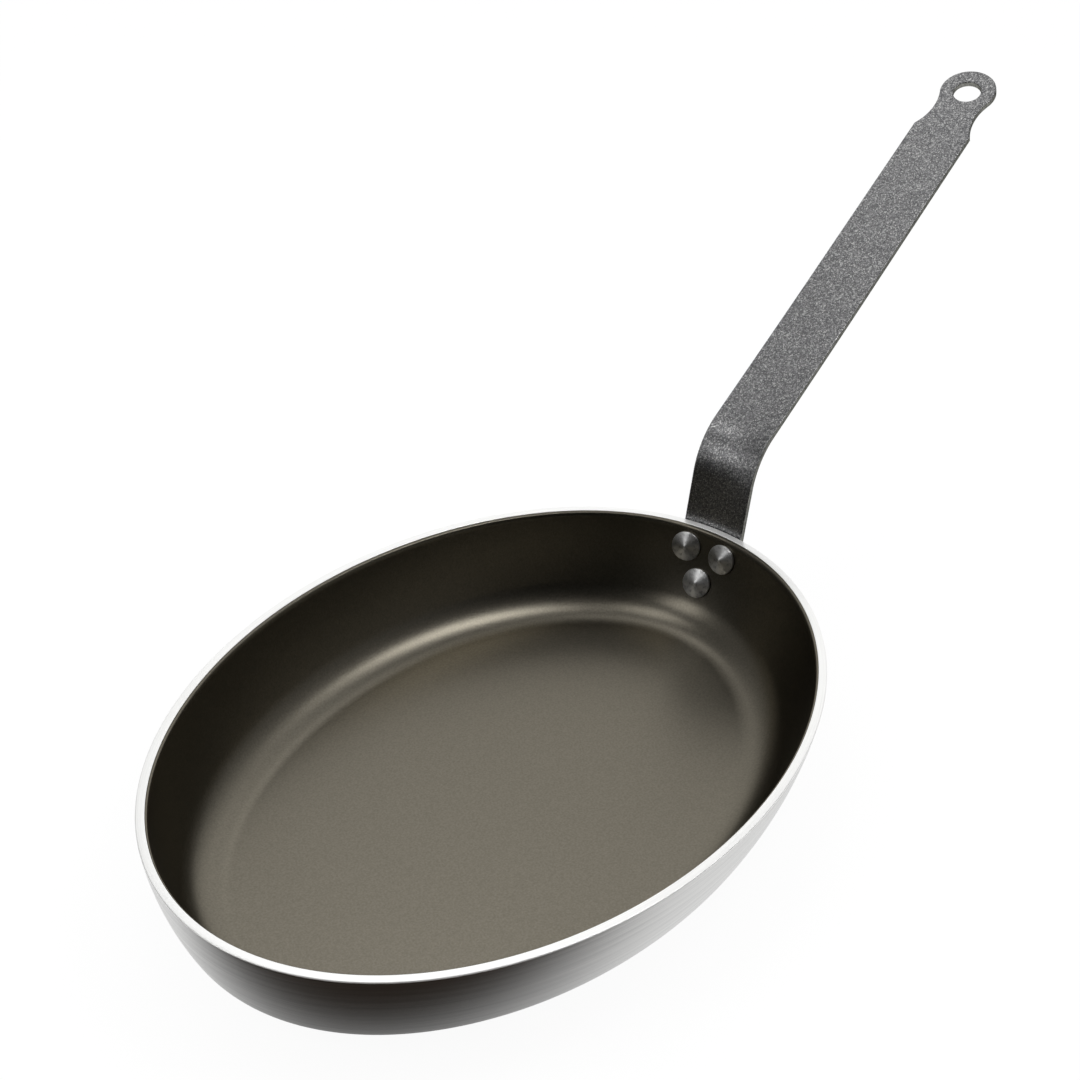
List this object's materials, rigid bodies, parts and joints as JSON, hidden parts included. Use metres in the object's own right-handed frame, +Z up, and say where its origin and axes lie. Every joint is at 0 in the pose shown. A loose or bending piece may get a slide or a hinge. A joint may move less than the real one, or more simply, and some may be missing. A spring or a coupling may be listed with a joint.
{
  "type": "oval frying pan",
  "caption": "Oval frying pan pressed from aluminium, with a dark non-stick inside and a bent strip handle riveted to one end, ending in a round eye for hanging.",
  "frame": {"origin": "centre of the pan's flat underside", "axes": "+Z up, +X along the oval towards the handle, +Y across the pan"},
  "size_m": [0.6166, 0.2516, 0.2145],
  "materials": {
    "pan_aluminium": "brushed outside, bright cut rim",
    "nonstick": "satin brown-black non-stick coat",
    "handle_paint": "hammered grey paint",
    "rivet_metal": "turned cone heads"
  },
  "bodies": {
    "root": {"pan_body": "pan_aluminium", "nonstick_lining": "nonstick", "handle": "handle_paint", "rivet_left": "rivet_metal", "rivet_right": "rivet_metal", "rivet_lower": "rivet_metal"}
  },
  "joints": []
}
